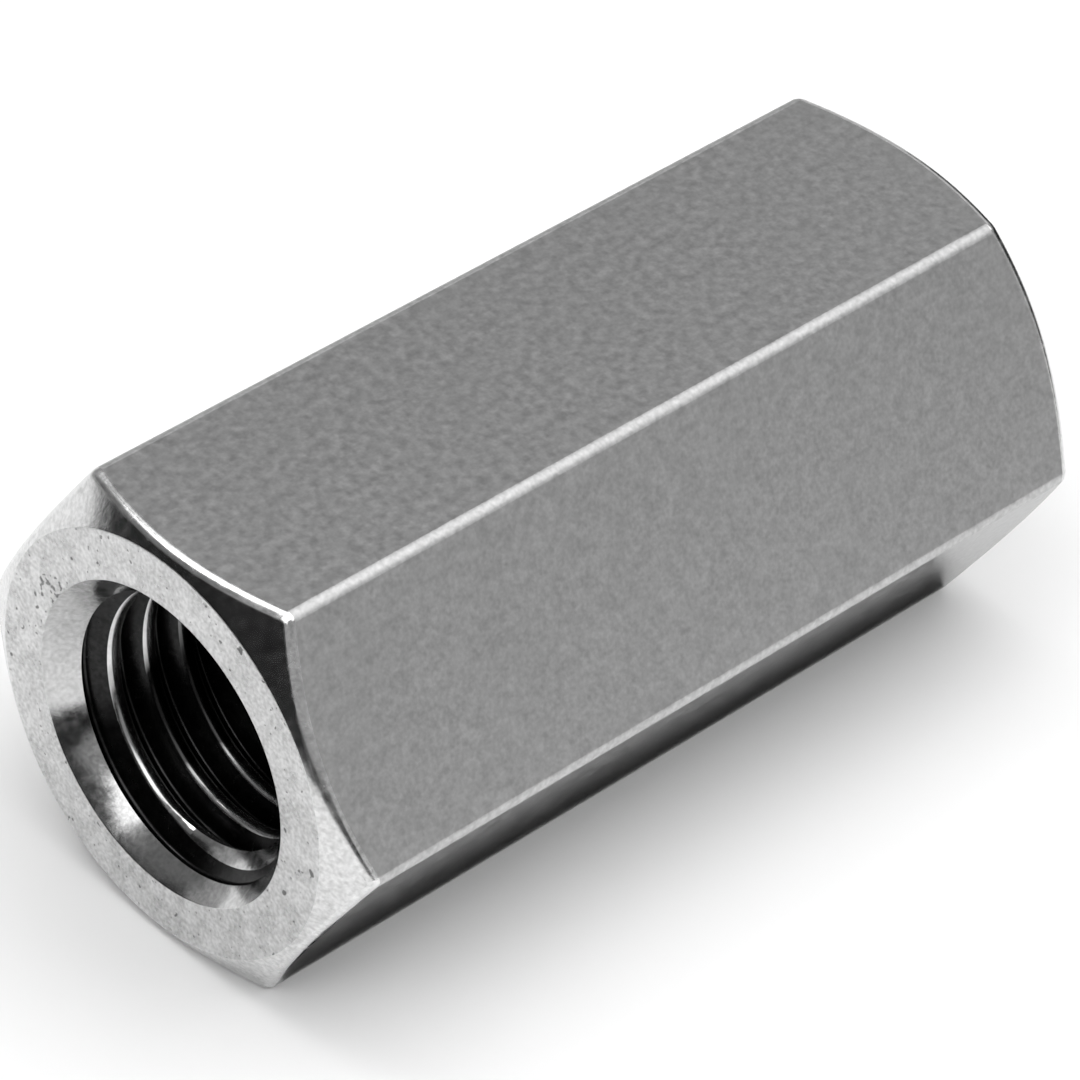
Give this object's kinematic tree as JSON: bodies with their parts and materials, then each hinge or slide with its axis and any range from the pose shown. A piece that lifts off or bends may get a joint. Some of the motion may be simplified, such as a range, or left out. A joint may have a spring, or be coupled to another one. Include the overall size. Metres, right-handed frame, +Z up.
{
  "type": "coupling nut",
  "caption": "Long hexagonal nut, threaded right through, that joins threaded rods end to end.",
  "frame": {"origin": "middle of the flat that the nut lies on, halfway along its length", "axes": "+X along the bore, +Z up out of the flat opposite the one it lies on, +Y across two corners"},
  "size_m": [0.044, 0.024, 0.021],
  "materials": {
    "zinc_plated_steel": "bright zinc-plated steel with a fine matt grain on the flats and smoother turned ends"
  },
  "bodies": {
    "root": {"coupling_nut": "zinc_plated_steel"}
  },
  "joints": []
}
